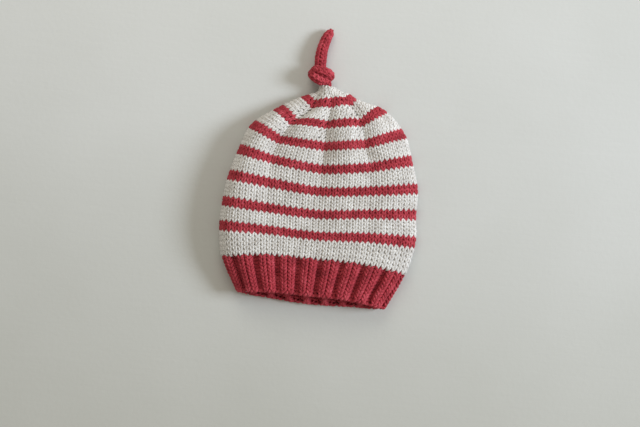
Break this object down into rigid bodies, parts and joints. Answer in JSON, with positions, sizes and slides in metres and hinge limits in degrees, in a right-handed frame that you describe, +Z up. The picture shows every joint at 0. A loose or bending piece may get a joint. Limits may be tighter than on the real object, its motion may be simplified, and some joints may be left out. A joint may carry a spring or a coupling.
{
  "type": "knitted baby cap",
  "caption": "Hand-knitted striped baby cap in red and white, lying flat, with a ribbed brim and a knotted cord at the crown.",
  "frame": {"origin": "on the underside of white_stripe_4, under the middle of the cap, on the surface it lies on", "axes": "+Y from the ribbed brim to the knotted cord, +Z up from the surface the cap lies on, +X to the right seen from above"},
  "size_m": [0.1613, 0.2248, 0.0246],
  "materials": {
    "red_yarn": "matt knitted wool",
    "white_yarn": "matt knitted wool"
  },
  "bodies": {
    "root": {"rib_band": "red_yarn", "white_stripe_1": "white_yarn", "red_stripe_1": "red_yarn", "white_stripe_2": "white_yarn", "red_stripe_2": "red_yarn", "white_stripe_3": "white_yarn", "red_stripe_3": "red_yarn", "white_stripe_4": "white_yarn", "red_stripe_4": "red_yarn", "white_stripe_5": "white_yarn", "red_stripe_5": "red_yarn", "white_stripe_6": "white_yarn", "red_stripe_6": "red_yarn", "white_stripe_7": "white_yarn", "red_stripe_7": "red_yarn", "white_stripe_8": "white_yarn", "knotted_cord": "red_yarn"}
  },
  "joints": []
}
